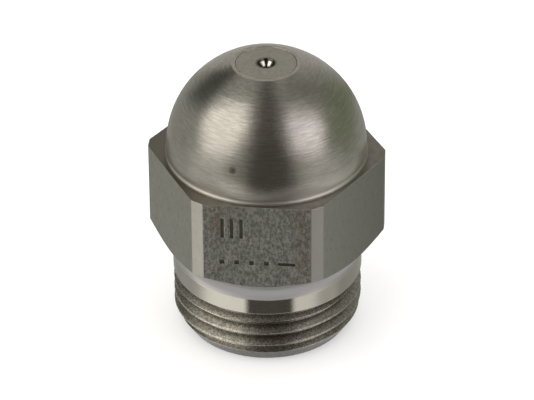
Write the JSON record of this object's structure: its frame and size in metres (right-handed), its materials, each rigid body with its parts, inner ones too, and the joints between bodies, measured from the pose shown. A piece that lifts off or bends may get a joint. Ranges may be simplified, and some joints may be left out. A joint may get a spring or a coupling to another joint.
{
  "type": "oil burner nozzle",
  "caption": "Pressure-atomising oil burner nozzle: domed hexagonal body with an external inlet thread, holding an orifice disc, a slotted distributor and a lock screw.",
  "frame": {"origin": "on the nozzle's axis, in the plane of the inlet end face that it stands on", "axes": "+Z along the axis, the way the spray leaves; the wrench flat with the grade marks faces -Y"},
  "size_m": [0.0178, 0.0158, 0.0224],
  "materials": {
    "body_steel": "turned stainless steel, satin",
    "disc_steel": "lapped hardened stainless steel, matte",
    "distributor_steel": "fine turned stainless steel",
    "screw_brass": "machined brass, slightly tarnished"
  },
  "bodies": {
    "nozzle": {"nozzle_body": "body_steel", "orifice_disc": "disc_steel"},
    "distributor": {"distributor": "distributor_steel"},
    "lock_screw": {"lock_screw": "screw_brass"}
  },
  "joints": [
    {"name": "distributor_slide", "type": "slide", "parent": "nozzle", "child": "distributor", "axis": [0, 0, -1], "range_m": [0, 0.00476]},
    {"name": "lock_screw_turn", "type": "hinge", "parent": "distributor", "child": "lock_screw", "pos_m": [0, 0, 0.005], "axis": [0, 0, -1], "range_deg": [0, 2160]}
  ],
  "couplings": [
    {"joint": "lock_screw_turn", "follows": "distributor_slide", "rad_per_m": 7915.8}
  ]
}
